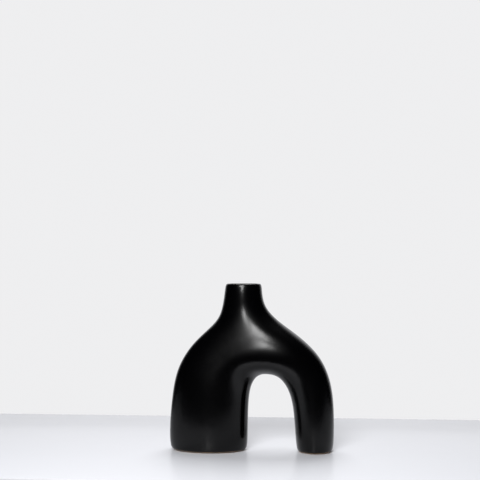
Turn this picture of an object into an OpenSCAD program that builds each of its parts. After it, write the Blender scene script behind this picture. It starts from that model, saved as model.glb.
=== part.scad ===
// Arch vase: a hollow ceramic vessel whose round shoulder runs down into a broad foot on one
// side and a slim leg on the other, with an arch-shaped opening between them and a bottle neck
// above the broad side. Each foot has a felt pad let into its underside.
// Origin: on the resting plane, under the middle of the vase. +Z up, front towards -Y.

/* [Overall] */
// Height from the resting plane to the lip
vase_height = 200; // [170:1:240]
// Width across the broad foot and the leg
vase_width = 198; // [175:1:230]
// Depth, front to back, at the fullest part of the shoulder
vase_depth = 68; // [64:1:76]

/* [Neck] */
// Diameter of the straight bore that takes the stems
bore_d = 33; // [28:0.5:34]
// Height of the straight bore's lower end
bore_from = 168; // [164:1:172]

/* [Wall] */
// Thickness of the cast wall
wall = 5; // [4:0.5:6]
// Thickness of the floor inside each foot
floor_t = 6; // [5:0.5:9]

/* [Pads] */
// Thickness of the felt
pad_t = 2; // [1.5:0.5:3]
// How far the felt stands out of its recess
pad_proud = 0.5; // [0.3:0.1:0.9]
// Space between the felt and the recess wall, all round
pad_gap = 0.3; // [0.2:0.1:0.6]
// Length of the broad foot's pad
main_pad_l = 68; // [60:1:72]
// Width of the broad foot's pad
main_pad_w = 36; // [30:1:40]
// Diameter of the leg's pad
leg_pad_d = 26; // [20:1:28]

/* [Hidden] */
$fn = 96;

GLAZE = [0.055, 0.055, 0.06];
FELT = [0.16, 0.15, 0.14];

SMOOTHING_ROUNDS = 2;
CORNERS = 8;      // corners of each ring of the control cage
BEND = 6;         // the station at the top of the arch, which the neck grows from
FOOT_INSET = 0.84; // the flat middle of each end, as a share of its ring
CUT = 1;          // how far a cutting tool overshoots

// The tube that makes foot, shoulder and leg, as stations from the broad foot over the arch to
// the leg: [point on the arch side, point on the outer side, half depth], drawn for a vase
// MASTER_W x MASTER_D x MASTER_H. Points are [x, z]. A fourth value fills the section out
// towards a rounded oblong, or pinches it if negative: [towards the arch, away from it].
MASTER_W = 198;
MASTER_D = 67.3;
MASTER_H = 200;
STATIONS = [
    [[-6.6, 0], [-96.3, 0], 28],
    [[-4.8, 6], [-98.9, 7], 29.6],
    [[-4.5, 28], [-99.2, 30], 30.5],
    [[-3.9, 54], [-96.4, 64], 31],
    [[-1.7, 77], [-91, 98], 31],
    [[7.3, 90.5], [-70.8, 129.6], 30, [0.15, -0.18]],
    [[20, 91.5], [-8, 149], 32, [0.22, 0.22]],
    [[33.5, 88.8], [54, 139.5], 31.5, [0.2, 0.31]],
    [[44.5, 74], [84, 113.5], 26.5],
    [[50.2, 54], [97.4, 78], 26],
    [[52.2, 28], [99.2, 40], 25.8],
    [[53.6, 6], [98.4, 7], 25.2],
    [[55.4, 0], [96.6, 0], 23.8]
];
MAIN_FOOT = STATIONS[0];
LEG_FOOT = STATIONS[len(STATIONS) - 1];
// The cavity follows the same stations, leaving some out.
CAVITY_STATIONS = [0, 1, 3, 4, 5, 6, 7, 8, 9, 11, 12];
CAVITY_BEND = 5;
CAVITY_LIFT = 40; // above this height the cavity's stations stand level with the outer ones

// Rings of the neck, from the shoulder to the lip: [height, half width, half depth, x].
NECK_X = -9.6;
NECK_RINGS = [
    [153, 37.6, 25.8, -3.8],
    [169, 26.4, 22.5, -9.1],
    [184, 23.1, 22.8, -10],
    [196, 22.2, 22.2, NECK_X],
    [200, 20.8, 20.8, NECK_X]
];
SHOULDER_DROP = 4;  // how much lower the cavity's shoulder rings stand than the outer ones
CAVITY_SHOULDER = [1.4, 1.1]; // walls taken off the shoulder ring's half width and half depth
CAVITY_THROAT = [1.3, 0.95];   // and off the next ring's
CAST_NECK_FROM = 173;  // the straight part of the cast neck, on the master
CAST_NECK_TO = 197;
BORE_SPARE = 0.4;   // the cast neck is this much tighter than its straight bore
LIP_FLARE = 1.4;    // how much wider the lip's inner edge is than the bore

bore_r = bore_d / 2;
scale_x = vase_width / MASTER_W;
scale_y = vase_depth / MASTER_D;
neck_x = NECK_X * scale_x;
main_foot_x = mean([MAIN_FOOT[0][0], MAIN_FOOT[1][0]]) * scale_x;
leg_foot_x = mean([LEG_FOOT[0][0], LEG_FOOT[1][0]]) * scale_x;

function mean(items) = sum(items) / len(items);
function sum(items) = items * [for (item = items) 1];
function mean_point(points) = [for (axis = [0:2]) mean([for (p = points) p[axis]])];

// The cage of a smooth round has to be this much larger than the round.
CAGE_GROWTH = 6 / (4 + 2 * cos(360 / CORNERS));

function height_at(z) = pad_proud + z * (vase_height - pad_proud) / MASTER_H;
function lifted(z) = z + max(0, 1 - z / CAVITY_LIFT) * floor_t;

// One station's ring of the cage. inset moves it inwards all round, and raise lifts the parts
// near the feet, for the cavity.
function station_ring(station, inset, raise) =
    let (
        arch_side = [station[0][0] * scale_x, height_at(station[0][1])],
        outer_side = [station[1][0] * scale_x, height_at(station[1][1])],
        middle = (arch_side + outer_side) / 2,
        half = (outer_side - arch_side) / 2,
        span = half * (1 - inset / norm(half)) * CAGE_GROWTH,
        depth = (station[2] * scale_y - inset) * CAGE_GROWTH,
        fill = is_undef(station[3]) ? [0, 0] : station[3]
    )
    [for (k = [0:CORNERS - 1])
        let (
            turn = 360 * k / CORNERS,
            place = middle + span * cos(turn),
            fullness = k % 2 == 1 ? 1 + fill[cos(turn) > 0 ? 1 : 0] : 1
        )
        [place[0], -depth * fullness * sin(turn), raise ? lifted(place[1]) : place[1]]];

function neck_ring(height, half_w, half_d, x) =
    [for (k = [0:CORNERS - 1])
        let (turn = 180 + 360 * k / CORNERS)
        [x + CAGE_GROWTH * half_w * cos(turn), CAGE_GROWTH * half_d * sin(turn), height]];

// A ring drawn in towards its own middle, which makes the flat part of a foot.
function drawn_in(ring, share) =
    let (middle = mean_point(ring))
    [for (p = ring) middle + (p - middle) * share];

function outer_neck() =
    [for (r = NECK_RINGS) neck_ring(height_at(r[0]), r[1] * scale_x, r[2] * scale_x, r[3] * scale_x)];

// The cavity's ring inside one of the neck's rings, lower and smaller by so many walls.
function cavity_ring(outer, walls) = neck_ring(
    height_at(outer[0]) - SHOULDER_DROP,
    outer[1] * scale_x - walls[0] * wall,
    outer[2] * scale_x - walls[1] * wall,
    outer[3] * scale_x
);

function cavity_neck() =
    let (
        cast_r = bore_r - BORE_SPARE,
        lip_r = bore_r + LIP_FLARE
    )
    [
        cavity_ring(NECK_RINGS[0], CAVITY_SHOULDER),
        cavity_ring(NECK_RINGS[1], CAVITY_THROAT),
        neck_ring(height_at(CAST_NECK_FROM), cast_r, cast_r, neck_x),
        neck_ring(height_at(CAST_NECK_TO), cast_r, cast_r, neck_x),
        neck_ring(height_at(MASTER_H), lip_r, lip_r, neck_x)
    ];

// A skin is one side of the vase: the tube's rings, a drawn-in ring at each end, and the neck's
// rings. Rings are numbered in that order, and a point's number is its ring's times CORNERS
// plus its place in the ring.
function skin_points(rings, neck) =
    concat(
        [for (ring = rings) each ring],
        drawn_in(rings[0], FOOT_INSET),
        drawn_in(rings[len(rings) - 1], FOOT_INSET),
        [for (ring = neck) each ring]
    );

function band(a, b) = [for (k = [0:CORNERS - 1])
    let (next = (k + 1) % CORNERS)
    [a[k], a[next], b[next], b[k]]];
function ring_ids(r) = [for (k = [0:CORNERS - 1]) r * CORNERS + k];
function reversed(list) = [for (i = [len(list) - 1:-1:0]) list[i]];

// The faces of a skin with the given number of stations, whose neck stands on the eight points
// round the outermost point of the bend.
function skin_faces(stations, bend, neck_rings) =
    let (
        first_end = ring_ids(stations),
        last_end = ring_ids(stations + 1),
        root = [
            for (place = [[-1, 0], [-1, 1], [0, 1], [1, 1], [1, 0], [1, 7], [0, 7], [-1, 7]])
                (bend + place[0]) * CORNERS + place[1]
        ],
        neck = concat([root], [for (r = [0:neck_rings - 1]) ring_ids(stations + 2 + r)])
    )
    concat(
        [for (s = [0:stations - 2]) for (f = band(ring_ids(s + 1), ring_ids(s)))
            if (!has(f, bend * CORNERS)) f],
        band(ring_ids(0), first_end),
        [first_end],
        band(last_end, ring_ids(stations - 1)),
        [reversed(last_end)],
        [for (r = [0:neck_rings - 1]) each band(neck[r + 1], neck[r])]
    );
function has(list, item) = len([for (i = list) if (i == item) i]) > 0;

// One round of Catmull-Clark smoothing of a closed mesh, given as [points, faces].
function smoothed(mesh) =
    let (
        points = mesh[0],
        faces = mesh[1],
        count = len(points),
        middles = [for (f = faces) mean_point([for (i = f) points[i]])],
        // Each edge of each face, as [from, to, face].
        sides = [for (k = [0:len(faces) - 1])
            let (f = faces[k], size = len(f))
            for (c = [0:size - 1]) [f[c], f[(c + 1) % size], k]],
        keys = [for (s = sides) s[0] * count + s[1]],
        twins = search([for (s = sides) s[1] * count + s[0]], keys),
        // An edge belongs to the side that runs from the lower number to the higher.
        owned = [for (s = sides) s[0] < s[1] ? 1 : 0],
        ranks = [for (i = 0, total = 0; i < len(sides); total = total + owned[i], i = i + 1) total],
        first_edge = count + len(faces),
        edge_of = [for (i = [0:len(sides) - 1]) first_edge + ranks[owned[i] == 1 ? i : twins[i]]],
        edge_points = [for (i = [0:len(sides) - 1])
            if (owned[i] == 1)
                let (s = sides[i], t = sides[twins[i]])
                (points[s[0]] + points[s[1]] + middles[s[2]] + middles[t[2]]) / 4],
        leaving = search([for (i = [0:count - 1]) i], [for (s = sides) s[0]], 0),
        old_points = [for (i = [0:count - 1])
            let (
                n = len(leaving[i]),
                face_mean = mean_point([for (s = leaving[i]) middles[sides[s][2]]]),
                edge_mean = mean_point([for (s = leaving[i]) (points[i] + points[sides[s][1]]) / 2])
            )
            (face_mean + 2 * edge_mean + (n - 3) * points[i]) / n],
        starts = [for (k = 0, total = 0; k < len(faces); total = total + len(faces[k]), k = k + 1) total],
        quads = [for (k = [0:len(faces) - 1])
            let (f = faces[k], size = len(f))
            for (c = [0:size - 1])
                [f[c], edge_of[starts[k] + c], count + k, edge_of[starts[k] + (c + size - 1) % size]]]
    )
    [concat(old_points, middles, edge_points), quads];

function smoothed_times(mesh, rounds) = rounds == 0 ? mesh : smoothed_times(smoothed(mesh), rounds - 1);

// The outer skin and the cavity's skin, joined round the lip into one closed shell.
function shell_cage() =
    let (
        outer_rings = [for (s = STATIONS) station_ring(s, 0, false)],
        cavity_rings = [for (i = CAVITY_STATIONS) station_ring(STATIONS[i], wall, true)],
        outer_count = len(outer_rings),
        cavity_count = len(cavity_rings),
        lip_rings = len(NECK_RINGS),
        outer_points = skin_points(outer_rings, outer_neck()),
        cavity_points = skin_points(cavity_rings, cavity_neck()),
        shift = len(outer_points),
        outer_faces = skin_faces(outer_count, BEND, lip_rings),
        cavity_faces = [for (f = skin_faces(cavity_count, CAVITY_BEND, lip_rings))
            reversed([for (i = f) i + shift])],
        outer_lip = ring_ids(outer_count + 1 + lip_rings),
        cavity_lip = [for (i = ring_ids(cavity_count + 1 + lip_rings)) i + shift],
        // The bend's outermost point is inside the neck's root and belongs to no face.
        used = [for (i = [0:shift + len(cavity_points) - 1])
            if (i != BEND * CORNERS && i != shift + CAVITY_BEND * CORNERS) i],
        all_points = concat(outer_points, cavity_points),
        faces = concat(outer_faces, band(cavity_lip, outer_lip), cavity_faces)
    )
    [[for (i = used) all_points[i]], [for (f = faces) [for (i = f) renumbered(i, shift)]]];
function renumbered(i, shift) =
    i - (i > BEND * CORNERS ? 1 : 0) - (i > shift + CAVITY_BEND * CORNERS ? 1 : 0);

module long_pad(length, width, height) {
    reach = (length - width) / 2;
    for (side = [-1, 1])
        translate([side * reach, 0, 0]) cylinder(d = width, h = height);
    translate([-reach, -width / 2, 0]) cube([2 * reach, width, height]);
}

module pad_recesses() {
    translate([main_foot_x, 0, -CUT])
        long_pad(main_pad_l + 2 * pad_gap, main_pad_w + 2 * pad_gap, pad_t + CUT);
    translate([leg_foot_x, 0, -CUT])
        cylinder(d = leg_pad_d + 2 * pad_gap, h = pad_t + CUT);
}

// The cast and glazed vessel, one piece of clay, open only at the neck.
module ceramic_body() {
    shell = smoothed_times(shell_cage(), SMOOTHING_ROUNDS);
    color(GLAZE) difference() {
        polyhedron(points = shell[0], faces = shell[1]);
        translate([neck_x, 0, bore_from])
            cylinder(r = bore_r, h = vase_height - bore_from + CUT);
        pad_recesses();
    }
}

module main_foot_pad() {
    color(FELT) translate([main_foot_x, 0, 0]) long_pad(main_pad_l, main_pad_w, pad_t);
}

module leg_foot_pad() {
    color(FELT) translate([leg_foot_x, 0, 0]) cylinder(d = leg_pad_d, h = pad_t);
}

ceramic_body();
main_foot_pad();
leg_foot_pad();
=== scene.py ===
"""Arch vase: a satin black glazed vessel standing on felt pads, on a pale gloss table."""

import logging
import math
from dataclasses import dataclass
from enum import Enum
from typing import Any, Callable, Iterable, Sequence

import bmesh
import bpy
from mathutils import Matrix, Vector

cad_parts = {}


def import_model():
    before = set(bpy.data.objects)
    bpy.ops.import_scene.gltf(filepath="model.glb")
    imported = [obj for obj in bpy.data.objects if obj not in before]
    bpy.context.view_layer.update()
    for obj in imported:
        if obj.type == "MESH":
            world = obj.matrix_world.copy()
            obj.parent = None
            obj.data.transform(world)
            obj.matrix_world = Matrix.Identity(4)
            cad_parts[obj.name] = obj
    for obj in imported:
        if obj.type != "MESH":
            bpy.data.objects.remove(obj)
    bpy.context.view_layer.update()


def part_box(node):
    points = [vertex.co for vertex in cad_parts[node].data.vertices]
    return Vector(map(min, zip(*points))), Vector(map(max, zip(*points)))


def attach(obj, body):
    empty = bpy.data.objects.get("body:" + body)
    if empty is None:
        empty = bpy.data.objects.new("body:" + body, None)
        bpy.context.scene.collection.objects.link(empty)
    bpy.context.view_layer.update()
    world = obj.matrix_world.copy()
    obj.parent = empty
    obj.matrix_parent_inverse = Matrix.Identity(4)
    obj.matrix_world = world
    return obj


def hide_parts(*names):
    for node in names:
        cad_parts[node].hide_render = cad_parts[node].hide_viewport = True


log = logging.getLogger("arch_vase")

MM = 0.001


class Axis(Enum):
    """The axes that shaping works along."""

    X = 0
    Y = 1
    Z = 2


# ---------------------------------------------------------------- shader maths


class Value:
    """A number that varies over a surface: a socket that Python's operators work on."""

    def __init__(self, recipe: "Recipe", socket: bpy.types.NodeSocket) -> None:
        """Wraps one output socket of a recipe's node tree.

        Args:
            recipe: the recipe whose tree the socket belongs to.
            socket: the output that carries the number.
        """
        self.recipe = recipe
        self.socket = socket

    def _maths(self, operation: str, first: Any, second: Any = None) -> "Value":
        """Adds a Math node.

        Args:
            operation: what the node does.
            first: its first operand, a number or a Value.
            second: its second operand, if it has one.

        Returns:
            The node's result.
        """
        operands = {0: first} if second is None else {0: first, 1: second}
        return self.recipe.node("ShaderNodeMath", {"operation": operation}, operands)

    def __add__(self, other: Any) -> "Value":
        """Sum."""
        return self._maths("ADD", self, other)

    def __radd__(self, other: Any) -> "Value":
        """Sum with the number first."""
        return self._maths("ADD", other, self)

    def __sub__(self, other: Any) -> "Value":
        """Difference."""
        return self._maths("SUBTRACT", self, other)

    def __rsub__(self, other: Any) -> "Value":
        """Difference with the number first."""
        return self._maths("SUBTRACT", other, self)

    def __mul__(self, other: Any) -> "Value":
        """Product."""
        return self._maths("MULTIPLY", self, other)

    def __rmul__(self, other: Any) -> "Value":
        """Product with the number first."""
        return self._maths("MULTIPLY", other, self)

    def __pow__(self, other: Any) -> "Value":
        """Power."""
        return self._maths("POWER", self, other)

    def ramp(self, low: float, high: float, smooth: bool = True) -> "Value":
        """Goes from 0 at low to 1 at high, and stays within them.

        Args:
            low: the value that gives 0; it may be the larger of the two.
            high: the value that gives 1.
            smooth: eases in and out.

        Returns:
            The eased share.
        """
        kind = "SMOOTHSTEP" if smooth else "LINEAR"
        flipped = low > high
        near, far = (high, low) if flipped else (low, high)
        share = self.recipe.node(
            "ShaderNodeMapRange",
            {"interpolation_type": kind},
            {"Value": self, "From Min": near, "From Max": far},
            "Result",
        )
        return 1 - share if flipped else share


class Recipe:
    """A material's or the world's node tree, with a single way to add any node."""

    def __init__(self, owner: bpy.types.Material | bpy.types.World) -> None:
        """Clears the owner's tree.

        Args:
            owner: the material or world to write.
        """
        owner.use_nodes = True
        self.owner = owner
        self.tree = owner.node_tree
        self.tree.nodes.clear()

    @classmethod
    def for_material(cls, name: str) -> "Recipe":
        """Starts a new material of this name."""
        return cls(bpy.data.materials.new(name))

    def node(
        self,
        kind: str,
        settings: dict[str, Any] | None = None,
        sockets: dict[Any, Any] | None = None,
        output: Any = 0,
    ) -> Value:
        """Adds a node, gives it its settings and then its sockets.

        Args:
            kind: the node's type name.
            settings: properties of the node itself; a ramp's stops go under "stops".
            sockets: a number, colour or Value for each input, by name or place.
            output: which output to hand back, by name or place.

        Returns:
            The chosen output.
        """
        made = self.tree.nodes.new(kind)
        for key, value in (settings or {}).items():
            if key == "stops":
                self._set_stops(made.color_ramp, value)
            else:
                setattr(made, key, value)
        for key, value in (sockets or {}).items():
            if isinstance(value, Value):
                self.tree.links.new(value.socket, made.inputs[key])
            else:
                made.inputs[key].default_value = value
        return Value(self, made.outputs[output])

    @staticmethod
    def _set_stops(ramp: bpy.types.ColorRamp, stops: Sequence[tuple[float, Sequence[float]]]) -> None:
        """Places a ramp's stops."""
        while len(ramp.elements) < len(stops):
            ramp.elements.new(0.5)
        for element, (place, colour) in zip(ramp.elements, stops):
            element.position = place
            element.color = colour

    def place(self) -> Value:
        """The point's place on the object, in metres."""
        return self.node("ShaderNodeTexCoord", output="Object")

    def component(self, vector: Value, axis: Axis) -> Value:
        """One component of a vector."""
        return self.node("ShaderNodeSeparateXYZ", sockets={0: vector}, output=axis.value)

    def noise(
        self,
        size: float,
        detail: float = 2.0,
        roughness: float = 0.5,
        stretch: Sequence[float] = (1, 1, 1),
    ) -> Value:
        """Soft noise whose blotches are about size metres across.

        Args:
            size: how large the blotches are.
            detail: octaves of finer noise.
            roughness: how strong the finer octaves are.
            stretch: scale along each axis, to draw the blotches out.

        Returns:
            A value about 0.5.
        """
        mapped = self.node(
            "ShaderNodeMapping",
            sockets={"Vector": self.place(), "Scale": tuple(stretch)},
        )
        return self.node(
            "ShaderNodeTexNoise",
            sockets={"Vector": mapped, "Scale": 1 / size, "Detail": detail, "Roughness": roughness},
            output="Fac",
        )

    def specks(self, size: float, radius: float) -> Value:
        """Sparse round specks, 1 inside and 0 outside.

        Args:
            size: the distance from one speck to the next, in metres.
            radius: a speck's radius as a share of that distance.

        Returns:
            The mask of the specks.
        """
        distance = self.node(
            "ShaderNodeTexVoronoi",
            {"feature": "F1"},
            {"Vector": self.place(), "Scale": 1 / size},
            "Distance",
        )
        return distance.ramp(radius, radius * 0.6)

    def blend(self, share: Any, first: Any, second: Any) -> Value:
        """Mixes two colours.

        Args:
            share: how much of the second colour there is, from 0 to 1.
            first: the colour at 0.
            second: the colour at 1.

        Returns:
            The mixed colour.
        """
        return self.node(
            "ShaderNodeMix",
            {"data_type": "RGBA"},
            {"Factor": share, 6: first, 7: second},
            2,
        )

    def bump(self, height: Value, depth: float, under: Value | None = None) -> Value:
        """Bends the normal as relief of the given depth would.

        Args:
            height: the relief, from 0 to 1.
            depth: how deep the relief is, in metres.
            under: another normal to lay this one over.

        Returns:
            The bent normal.
        """
        sockets = {"Height": height, "Distance": depth, "Strength": 1.0}
        if under is not None:
            sockets["Normal"] = under
        return self.node("ShaderNodeBump", sockets=sockets)

    def surface(self, sockets: dict[str, Any]) -> Value:
        """Adds a Principled shader with the given sockets."""
        return self.node("ShaderNodeBsdfPrincipled", sockets=sockets)

    def finish(self, shader: Value, output: str = "ShaderNodeOutputMaterial") -> Any:
        """Sends a shader to the output and hands back the material or world."""
        end = self.tree.nodes.new(output)
        self.tree.links.new(shader.socket, end.inputs["Surface"])
        return self.owner


# ---------------------------------------------------------------- finishes


@dataclass(frozen=True)
class SatinBlackGlaze:
    """Black satin glaze over buff clay, with the clay left bare where the feet stand."""

    glaze: tuple[float, float, float] = (0.0004, 0.0004, 0.0006)
    thin_glaze: tuple[float, float, float] = (0.016, 0.011, 0.008)
    clay: tuple[float, float, float] = (0.42, 0.29, 0.18)
    dark_clay: tuple[float, float, float] = (0.36, 0.235, 0.14)
    grog: tuple[float, float, float] = (0.20, 0.12, 0.07)
    sheen_low: float = 0.2
    sheen_high: float = 0.25
    poured_gloss: float = 0.12
    refraction: float = 1.36
    glaze_line: float = 1.5 * MM
    line_wander: float = 0.9 * MM
    lip_height: float = 200 * MM
    lip_thinning: float = 2.2 * MM
    neck_x: float = -9.6 * MM
    bore_radius: float = 16.5 * MM

    def material(self) -> bpy.types.Material:
        """Builds the glaze, its thin places and the bare clay.

        Returns:
            The vessel's one material.
        """
        recipe = Recipe.for_material("satin_black_glaze")
        place = recipe.place()
        height = recipe.component(place, Axis.Z)
        line = self.glaze_line + (recipe.noise(9 * MM, 3) - 0.5) * self.line_wander
        bare = (height - line).ramp(0.25 * MM, -0.25 * MM)
        shader = recipe.node(
            "ShaderNodeMixShader",
            sockets={0: bare, 1: self._glaze(recipe, place, height), 2: self._clay(recipe)},
        )
        return recipe.finish(shader)

    def _glaze(self, recipe: "Recipe", place: Value, height: Value) -> Value:
        """The fired glaze: nearly black, browner where it ran thin, faintly rippled.

        Args:
            recipe: the material being built.
            place: the point's place.
            height: its height above the table.

        Returns:
            The glaze's shader.
        """
        lip = (height - self.lip_height).ramp(-self.lip_thinning, 0)
        foot = height.ramp(self.glaze_line * 2.6, self.glaze_line)
        cloud = recipe.noise(22 * MM, 3)
        breaks = recipe.noise(3 * MM, 4, 0.6).ramp(0.35, 0.75)
        thin = (lip * 0.35 + foot * 0.8) * (breaks * 0.6 + 0.4)
        colour = recipe.blend(thin, (*self.glaze, 1), (*self.thin_glaze, 1))
        mottle = recipe.noise(7 * MM, 4, 0.6)
        inside = self._inside(recipe, place)
        rough = self.sheen_low + (cloud * 0.55 + mottle * 0.45) * (self.sheen_high - self.sheen_low)
        ripple = recipe.bump(recipe.noise(14 * MM, 1), 0.10 * MM)
        peel = recipe.bump(recipe.noise(1.1 * MM, 2), 0.010 * MM, ripple)
        return recipe.surface(
            {
                "Base Color": colour,
                "Roughness": rough - inside * self.poured_gloss,
                "Normal": peel,
                "IOR": self.refraction,
            }
        )

    def _inside(self, recipe: "Recipe", place: Value) -> Value:
        """Finds the inside of the neck, which is glazed by pouring and is glossier.

        Args:
            recipe: the material being built.
            place: the point's place.

        Returns:
            1 inside the bore's radius and 0 outside it.
        """
        across = recipe.component(place, Axis.X) - self.neck_x
        deep = recipe.component(place, Axis.Y)
        radius = (across * across + deep * deep) ** 0.5
        return radius.ramp(self.bore_radius + 1.4 * MM, self.bore_radius + 0.4 * MM)

    def _clay(self, recipe: "Recipe") -> Value:
        """Bare fired clay: buff, dry and gritty.

        Args:
            recipe: the material being built.

        Returns:
            The clay's shader.
        """
        grit = recipe.noise(0.7 * MM, 3, 0.7)
        grains = recipe.specks(1.6 * MM, 0.28)
        firing = recipe.noise(8 * MM, 2).ramp(0.3, 0.7)
        tint = recipe.blend(firing, (*self.clay, 1), (*self.dark_clay, 1))
        colour = recipe.blend(grains * 0.6, tint, (*self.grog, 1))
        normal = recipe.bump(grit + grains * 0.4, 0.06 * MM)
        return recipe.surface({"Base Color": colour, "Roughness": 0.9, "Normal": normal})


@dataclass(frozen=True)
class PressedFelt:
    """Charcoal wool felt, pressed, with matted fibres."""

    wool: tuple[float, float, float] = (0.050, 0.047, 0.044)
    fleck: tuple[float, float, float] = (0.16, 0.15, 0.14)

    def material(self) -> bpy.types.Material:
        """Builds the felt.

        Returns:
            The pads' material.
        """
        recipe = Recipe.for_material("pressed_felt")
        along = recipe.noise(0.5 * MM, 3, 0.7, (1, 5, 3))
        across = recipe.noise(0.5 * MM, 3, 0.7, (5, 1, 3))
        fibres = along * 0.5 + across * 0.5
        lumps = recipe.noise(4 * MM, 2)
        colour = recipe.blend(fibres.ramp(0.5, 0.72) * 0.7, (*self.wool, 1), (*self.fleck, 1))
        normal = recipe.bump(fibres, 0.18 * MM, recipe.bump(lumps, 0.15 * MM))
        return recipe.finish(
            recipe.surface(
                {
                    "Base Color": colour,
                    "Roughness": 0.95,
                    "Normal": normal,
                    "Sheen Weight": 0.35,
                    "Sheen Roughness": 0.5,
                }
            )
        )


@dataclass(frozen=True)
class GlossTable:
    """Pale lacquered board with a soft mirror in it."""

    lacquer: tuple[float, float, float] = (0.74, 0.75, 0.79)
    roughness: float = 0.25
    refraction: float = 1.25

    def material(self) -> bpy.types.Material:
        """Builds the lacquer.

        Returns:
            The table's material.
        """
        recipe = Recipe.for_material("pale_lacquer")
        haze = recipe.noise(60 * MM, 3)
        rough = self.roughness + (haze - 0.5) * 0.05
        normal = recipe.bump(recipe.noise(9 * MM, 2), 0.01 * MM)
        return recipe.finish(
            recipe.surface(
                {
                    "Base Color": (*self.lacquer, 1),
                    "Roughness": rough,
                    "Normal": normal,
                    "IOR": self.refraction,
                }
            )
        )


# ---------------------------------------------------------------- shaping


class Bench:
    """Edit-mode work on one mesh: operators, with what they act on picked in code."""

    def __init__(self, piece: bpy.types.Object) -> None:
        """Opens a piece for editing.

        Args:
            piece: the piece, already in the scene.
        """
        self.piece = piece
        bpy.ops.object.select_all(action="DESELECT")
        bpy.context.view_layer.objects.active = piece
        piece.select_set(True)
        bpy.ops.object.mode_set(mode="EDIT")
        bpy.ops.mesh.select_mode(type="VERT")

    @classmethod
    def empty(cls, name: str) -> "Bench":
        """Starts an empty piece and opens it for editing."""
        piece = bpy.data.objects.new(name, bpy.data.meshes.new(name))
        bpy.context.scene.collection.objects.link(piece)
        return cls(piece)

    def put_down(self) -> bpy.types.Object:
        """Closes the piece and hands it back."""
        bpy.ops.object.mode_set(mode="OBJECT")
        return self.piece

    def pick(self, wanted: Callable[[Vector], bool]) -> None:
        """Selects the points whose place a test accepts, and nothing else."""
        self._select(lambda point: wanted(point.co))

    def _select(self, wanted: Callable[[bmesh.types.BMVert], bool]) -> None:
        """Selects the points that a test accepts, with the edges and faces between them.

        Args:
            wanted: the test.
        """
        mesh = self._cleared()
        mesh.verts.index_update()
        chosen = set(filter(wanted, mesh.verts))
        for point in chosen:
            point.select = True
        for item in (*mesh.edges, *mesh.faces):
            if chosen.issuperset(item.verts):
                item.select = True
        bmesh.update_edit_mesh(self.piece.data)

    def _cleared(self) -> bmesh.types.BMesh:
        """Hands back the mesh with nothing selected."""
        mesh = bmesh.from_edit_mesh(self.piece.data)
        for item in (*mesh.verts, *mesh.edges, *mesh.faces):
            item.select = False
        return mesh

    def pick_numbers(self, numbers: Iterable[int]) -> None:
        """Selects points by their number, and nothing else."""
        chosen = set(numbers)
        self._select(lambda point: point.index in chosen)

    def pick_open_edges(self, below: float = math.inf) -> None:
        """Selects every edge that lacks a face on one side and lies below a height."""
        for edge in self._cleared().edges:
            if len(edge.link_faces) < 2 and edge.verts[0].co.z < below:
                edge.select = True
        bmesh.update_edit_mesh(self.piece.data)

    def face(self, outward: bool) -> None:
        """Turns every face the same way.

        Args:
            outward: whether the faces look out of the piece or into it.
        """
        bpy.ops.mesh.select_all(action="SELECT")
        bpy.ops.mesh.normals_make_consistent(inside=False)
        volume = bmesh.from_edit_mesh(self.piece.data).calc_volume(signed=True)
        if (volume > 0) != outward:
            bpy.ops.mesh.flip_normals()

    def add_ring(
        self,
        centre: Vector,
        half_width: float,
        half_depth: float,
        tilt: float = 0.0,
        fullness: tuple[float, float] = (0.0, 0.0),
    ) -> range:
        """Adds one ring of the loft.

        Args:
            centre: the ring's middle.
            half_width: half its size across.
            half_depth: half its size front to back.
            tilt: its turn about the Y axis, in radians.
            fullness: how much deeper its diagonal points are, to square the ring off, at the
                near and the far end of its width.

        Returns:
            The numbers of its points.
        """
        before = len(bmesh.from_edit_mesh(self.piece.data).verts)
        bpy.ops.mesh.primitive_circle_add(vertices=Vessel.CORNERS, radius=1.0, fill_type="NOTHING")
        self._resize((half_width, half_depth, 1.0))
        numbers = range(before, before + Vessel.CORNERS)
        for share, corners in zip(fullness, (numbers[1:4:2], numbers[5:8:2])):
            self.pick_numbers(corners)
            self._resize((1.0, 1.0 + share, 1.0))
        self.pick_numbers(numbers)
        bpy.ops.transform.rotate(value=-tilt, orient_axis="Y", center_override=(0, 0, 0))
        bpy.ops.transform.translate(value=centre)
        return numbers

    @staticmethod
    def _resize(factors: tuple[float, float, float]) -> None:
        """Scales the selected points about the origin."""
        bpy.ops.transform.resize(value=factors, center_override=(0, 0, 0))


def use_modifier(piece: bpy.types.Object, kind: str, **settings: Any) -> None:
    """Adds a modifier to a piece and applies it.

    Args:
        piece: the piece, which becomes the active one.
        kind: the modifier's type.
        settings: its settings.
    """
    bpy.ops.object.select_all(action="DESELECT")
    bpy.context.view_layer.objects.active = piece
    piece.select_set(True)
    modifier = piece.modifiers.new(kind.lower(), kind)
    for key, value in settings.items():
        setattr(modifier, key, value)
    bpy.ops.object.modifier_apply(modifier=modifier.name)


def smooth(piece: bpy.types.Object, angle: float = 35.0) -> None:
    """Shades a piece smooth, apart from edges sharper than an angle in degrees."""
    bpy.ops.object.select_all(action="DESELECT")
    bpy.context.view_layer.objects.active = piece
    piece.select_set(True)
    bpy.ops.object.shade_smooth_by_angle(angle=math.radians(angle))


# ---------------------------------------------------------------- the vase


@dataclass(frozen=True)
class Station:
    """A cross-section of the tube that makes foot, shoulder and leg, as X and Z in millimetres."""

    arch_side: tuple[float, float]
    outer_side: tuple[float, float]
    half_depth: float
    fullness: tuple[float, float] = (0.0, 0.0)


@dataclass(frozen=True)
class NeckRing:
    """A ring of the neck, in millimetres."""

    height: float
    half_width: float
    half_depth: float
    x: float


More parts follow.
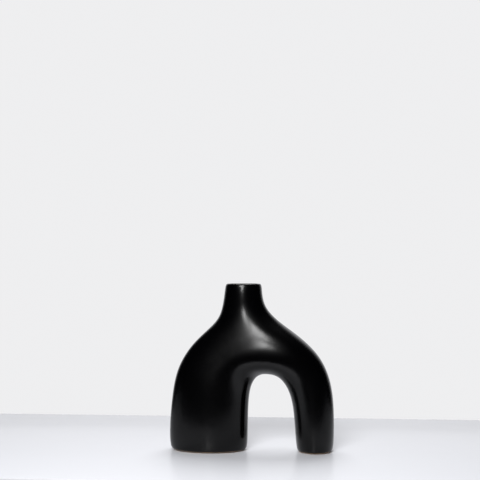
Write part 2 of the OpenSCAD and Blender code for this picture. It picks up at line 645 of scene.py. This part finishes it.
@dataclass
class Vessel:
    """The cast body: broad foot, shoulder, arch, hollow leg and bottle neck in one shell."""

    CORNERS = 8
    OUTER_POINT = 6
    GROWTH = 6 / (4 + 2 * math.cos(math.tau / 8))

    node: str = "ceramic_body"
    wall: float = 5.0
    floor: float = 6.0
    cavity_lift: float = 40.0
    foot_inset: float = 0.84
    bend: int = 6
    drawn_height: float = 200.0
    drawn_width: float = 198.28
    drawn_depth: float = 67.28
    stations: tuple[Station, ...] = (
        Station((-6.6, 0), (-96.3, 0), 28),
        Station((-4.8, 6), (-98.9, 7), 29.6),
        Station((-4.5, 28), (-99.2, 30), 30.5),
        Station((-3.9, 54), (-96.4, 64), 31),
        Station((-1.7, 77), (-91, 98), 31),
        Station((7.3, 90.5), (-70.8, 129.6), 30, (0.15, -0.18)),
        Station((20, 91.5), (-8, 149), 32, (0.22, 0.22)),
        Station((33.5, 88.8), (54, 139.5), 31.5, (0.20, 0.31)),
        Station((44.5, 74), (84, 113.5), 26.5),
        Station((50.2, 54), (97.4, 78), 26),
        Station((52.2, 28), (99.2, 40), 25.8),
        Station((53.6, 6), (98.4, 7), 25.2),
        Station((55.4, 0), (96.6, 0), 23.8),
    )
    neck: tuple[NeckRing, ...] = (
        NeckRing(153, 37.6, 25.8, -3.8),
        NeckRing(169, 26.4, 22.5, -9.1),
        NeckRing(184, 23.1, 22.8, -10),
        NeckRing(196, 22.2, 22.2, -9.6),
        NeckRing(200, 20.8, 20.8, -9.6),
    )
    cavity_neck: tuple[NeckRing, ...] = (
        NeckRing(149, 30.6, 20.3, -3.8),
        NeckRing(165, 19.9, 17.7, -9.1),
        NeckRing(173, 16.5, 16.5, -9.6),
        NeckRing(197, 16.5, 16.5, -9.6),
        NeckRing(200, 17.9, 17.9, -9.6),
    )

    def __post_init__(self) -> None:
        """Reads the body's real box from the frame."""
        self.low, self.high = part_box(self.node)
        self.widen = (self.high.x - self.low.x) / (self.drawn_width * MM)
        self.deepen = (self.high.y - self.low.y) / (self.drawn_depth * MM)

    def build(self) -> bpy.types.Object:
        """Lofts the outer and inner skins, joins them at the lip and smooths the shell.

        Returns:
            The finished vessel.
        """
        shell = self._skin("vase_body", self.neck, 0.0)
        lining = self._skin("vase_lining", self.cavity_neck, self.wall)
        bpy.ops.object.select_all(action="DESELECT")
        lining.select_set(True)
        shell.select_set(True)
        bpy.context.view_layer.objects.active = shell
        bpy.ops.object.join()
        bench = Bench(shell)
        bench.pick_open_edges()
        bpy.ops.mesh.bridge_edge_loops()
        bench.put_down()
        use_modifier(shell, "SUBSURF", levels=4, render_levels=4)
        return shell

    def _height(self, drawn: float, lift: float = 0.0) -> float:
        """Turns a drawn height into metres above the table.

        Args:
            drawn: the height as drawn, in millimetres.
            lift: how far the cavity's floor is raised, which fades out further up.

        Returns:
            The height in metres.
        """
        base = self.low.z / MM
        raised = base + drawn * (self.drawn_height - base) / self.drawn_height
        return (raised + max(0.0, 1 - raised / self.cavity_lift) * lift) * MM

    def _skin(self, name: str, neck: Sequence[NeckRing], inset: float) -> bpy.types.Object:
        """Lofts one skin of the shell, closed at both feet and open at the lip.

        Args:
            name: the skin's name.
            neck: the rings that its neck runs through.
            inset: how far it lies inside the drawn stations; the cavity's is one wall.

        Returns:
            The skin's cage.
        """
        bench = Bench.empty(name)
        tube = [self._station_ring(bench, station, inset) for station in self.stations]
        throat = [
            bench.add_ring(
                Vector((ring.x * self.widen * MM, 0, self._height(ring.height))),
                ring.half_width * self.GROWTH * MM,
                ring.half_depth * self.deepen * self.GROWTH * MM,
            )
            for ring in neck
        ]
        for rings in (tube, throat):
            for lower, upper in zip(rings, rings[1:]):
                bench.pick_numbers([*lower, *upper])
                bpy.ops.mesh.bridge_edge_loops()
        for end in (tube[0], tube[-1]):
            self._close_foot(bench, end)
        bench.pick_numbers([tube[self.bend][self.OUTER_POINT]])
        bpy.ops.mesh.delete(type="VERT")
        bench.pick_open_edges(below=self._height((neck[0].height + neck[-1].height) / 2))
        bpy.ops.mesh.bridge_edge_loops()
        bench.face(outward=not inset)
        return bench.put_down()

    def _station_ring(self, bench: Bench, station: Station, inset: float) -> range:
        """Adds one station's ring.

        Args:
            bench: the skin being made.
            station: the station to draw.
            inset: how far to move it inwards.

        Returns:
            The numbers of its points.
        """
        lift = self.floor if inset else 0.0
        arch_side, outer_side = (
            Vector((x * self.widen * MM, 0, self._height(z, lift)))
            for x, z in (station.arch_side, station.outer_side)
        )
        half = (outer_side - arch_side) / 2
        return bench.add_ring(
            (outer_side + arch_side) / 2,
            (half.length - inset * MM) * self.GROWTH,
            (station.half_depth * self.deepen - inset) * self.GROWTH * MM,
            -math.atan2(half.z, half.x),
            station.fullness,
        )

    def _close_foot(self, bench: Bench, ring: range) -> None:
        """Closes one foot with a flat that is drawn in from its rounded edge.

        Args:
            bench: the skin being made.
            ring: the numbers of the points round the foot.
        """
        bench.pick_numbers(ring)
        bpy.ops.mesh.edge_face_add()
        mesh = bmesh.from_edit_mesh(bench.piece.data)
        middle = sum((point.co for point in mesh.verts if point.select), Vector()) / len(ring)
        bpy.ops.mesh.extrude_region_move()
        bpy.ops.transform.resize(value=(self.foot_inset,) * 3, center_override=middle)

    def recess(self, shell: bpy.types.Object, pad: "FootPad") -> None:
        """Cuts the recess that one felt pad sits in.

        Args:
            shell: the vessel.
            pad: the pad, whose outline is grown by its gap.
        """
        cutter = pad.block("recess_cutter", pad.gap, pad.low.z - pad.cut, pad.high.z)
        use_modifier(shell, "BOOLEAN", operation="DIFFERENCE", object=cutter, solver="EXACT")
        bpy.data.objects.remove(cutter)


@dataclass
class FootPad:
    """A felt pad with round ends, let into the underside of one foot."""

    node: str
    gap: float = 0.3 * MM
    cut: float = 1.0 * MM
    edge: float = 0.35 * MM
    sides: int = 64

    def __post_init__(self) -> None:
        """Reads the pad's real box from the frame."""
        self.low, self.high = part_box(self.node)

    def block(self, name: str, grow: float, bottom: float, top: float) -> bpy.types.Object:
        """Makes an upright block of the pad's outline.

        Args:
            name: the block's name.
            grow: how much larger it is all round.
            bottom: its lowest height.
            top: its highest height.

        Returns:
            The block, closed.
        """
        middle = (self.low + self.high) / 2
        radius = (self.high.y - self.low.y) / 2
        reach = (self.high.x - self.low.x) / 2 - radius
        bench = Bench.empty(name)
        bpy.ops.mesh.primitive_circle_add(
            vertices=self.sides,
            radius=radius + grow,
            fill_type="NGON",
            location=(middle.x, middle.y, bottom),
            rotation=(0, 0, math.pi / self.sides),
        )
        for side in (-1, 1):
            bench.pick(lambda place: (place.x - middle.x) * side > 0)
            bpy.ops.transform.translate(value=(side * reach, 0, 0))
        bpy.ops.mesh.select_all(action="SELECT")
        bpy.ops.mesh.extrude_region_move(TRANSFORM_OT_translate={"value": (0, 0, top - bottom)})
        bench.face(outward=True)
        return bench.put_down()

    def build(self) -> bpy.types.Object:
        """Makes the pad, with the soft edge that a punched felt has.

        Returns:
            The finished pad.
        """
        pad = self.block(self.node.replace("foot", "felt"), 0.0, self.low.z, self.high.z)
        use_modifier(pad, "BEVEL", width=self.edge, segments=3, limit_method="ANGLE")
        return pad


# ---------------------------------------------------------------- the studio


@dataclass
class Studio:
    """Pale table, white backdrop, soft lights and camera."""

    table_back: float = 0.235
    table_front: float = -0.165
    table_side: float = 1.3
    table_thick: float = 0.03
    eye_height: float = 0.2225
    eye_distance: float = 1.09
    eye_azimuth: float = 4.0
    lens: float = 67.5
    aim_x: float = -0.0139
    aim_z: float = 0.2527
    light_height: float = 0.12
    room: tuple[float, float, float] = (0.004, 0.004, 0.005)
    wall: tuple[float, float, float] = (1.0, 1.0, 1.03)
    wall_from: float = 0.6
    wall_to: float = 0.97
    ceiling_from: float = 0.55
    ceiling_to: float = 0.95
    ceiling_share: float = 0.04
    backdrop: tuple[float, float, float] = (0.86, 0.86, 0.87)

    def build_table(self) -> None:
        """Makes the table's board, with an eased edge."""
        bpy.ops.object.select_all(action="DESELECT")
        depth = self.table_back - self.table_front
        bpy.ops.mesh.primitive_cube_add(
            size=1,
            location=(0, (self.table_back + self.table_front) / 2, -self.table_thick / 2),
            scale=(2 * self.table_side, depth, self.table_thick),
        )
        board = bpy.context.active_object
        board.name = "table_board"
        bpy.ops.object.transform_apply(location=True, rotation=True, scale=True)
        use_modifier(board, "BEVEL", width=1.5 * MM, segments=3, limit_method="ANGLE")
        board.data.materials.append(GlossTable().material())
        smooth(board)

    def build_world(self) -> None:
        """Makes a white wall behind the vase and a dim room in front of it."""
        world = bpy.data.worlds.new("studio")
        bpy.context.scene.world = world
        recipe = Recipe(world)
        towards = recipe.node("ShaderNodeTexCoord", output="Generated")
        back = recipe.component(towards, Axis.Y)
        up = recipe.component(towards, Axis.Z)
        wall = back.ramp(self.wall_from, self.wall_to)
        ceiling = up.ramp(self.ceiling_from, self.ceiling_to) * self.ceiling_share
        room = recipe.blend(wall, (*self.room, 1), (*self.wall, 1))
        lit = recipe.blend(ceiling, room, (1, 1, 1, 1))
        seen = recipe.node("ShaderNodeLightPath", output="Is Camera Ray")
        colour = recipe.blend(seen, lit, (*self.backdrop, 1))
        shader = recipe.node("ShaderNodeBackground", sockets={"Color": colour, "Strength": 1.0})
        recipe.finish(shader, "ShaderNodeOutputWorld")

    def build_lights(self) -> None:
        """Hangs the softboxes."""
        self._softbox("key", azimuth=-9, elevation=35, distance=1.1, size=(0.46, 0.32), power=10)
        self._softbox("strip", azimuth=-4, elevation=16, distance=1.5, size=(0.26, 0.3), power=6)
        self._softbox("top", azimuth=180, elevation=66, distance=1.2, size=(0.7, 0.8), power=10)

    def _softbox(
        self,
        name: str,
        azimuth: float,
        elevation: float,
        distance: float,
        size: tuple[float, float],
        power: float,
    ) -> None:
        """Hangs one softbox that faces the vase.

        Args:
            name: the light's name.
            azimuth: its place round the vase in degrees, 0 in front.
            elevation: its height in degrees above the table.
            distance: how far it is from the vase.
            size: its width and height.
            power: its power in watts.
        """
        light = bpy.data.lights.new(name, "AREA")
        light.shape = "RECTANGLE"
        light.size, light.size_y = size
        light.energy = power
        holder = bpy.data.objects.new(name, light)
        bpy.context.scene.collection.objects.link(holder)
        turn, rise = math.radians(azimuth), math.radians(elevation)
        away = Vector(
            (math.sin(turn) * math.cos(rise), -math.cos(turn) * math.cos(rise), math.sin(rise))
        )
        holder.location = Vector((0, 0, self.light_height)) + away * distance
        holder.rotation_euler = (-away).to_track_quat("-Z", "Y").to_euler()

    def build_camera(self) -> None:
        """Sets the camera level with the lip, a little to the leg's side."""
        camera = bpy.data.cameras.new("camera")
        camera.lens = self.lens
        camera.sensor_width = 36
        camera.clip_end = 50
        holder = bpy.data.objects.new("camera", camera)
        bpy.context.scene.collection.objects.link(holder)
        turn = math.radians(self.eye_azimuth)
        across = Vector((math.cos(turn), math.sin(turn), 0))
        away = Vector((math.sin(turn), -math.cos(turn), 0))
        eye = away * self.eye_distance + Vector((0, 0, self.eye_height))
        aim = across * self.aim_x + Vector((0, 0, self.aim_z))
        holder.location = eye
        holder.rotation_euler = (aim - eye).to_track_quat("-Z", "Y").to_euler()
        bpy.context.scene.camera = holder


def dress(piece: bpy.types.Object, material: bpy.types.Material, node: str) -> None:
    """Shades a piece, gives it its finish and puts it in its CAD node's place.

    Args:
        piece: the finished piece.
        material: its finish.
        node: the CAD node that it stands for.
    """
    piece.data.materials.clear()
    piece.data.materials.append(material)
    smooth(piece)
    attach(piece, "root")
    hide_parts(node)
    log.info("%s: %d faces", piece.name, len(piece.data.polygons))


def main() -> None:
    """Builds the vase and its studio in order."""
    logging.basicConfig(level=logging.INFO, format="%(name)s: %(message)s")
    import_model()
    studio = Studio()
    studio.build_camera()

    vessel = Vessel()
    body = vessel.build()
    for pad in (FootPad("main_foot_pad"), FootPad("leg_foot_pad")):
        vessel.recess(body, pad)
        felt = pad.build()
        dress(felt, PressedFelt().material(), pad.node)
    dress(body, SatinBlackGlaze().material(), vessel.node)

    studio.build_table()
    studio.build_world()
    studio.build_lights()
    bpy.context.scene.view_settings.view_transform = "Standard"


if __name__ == "__main__":
    main()
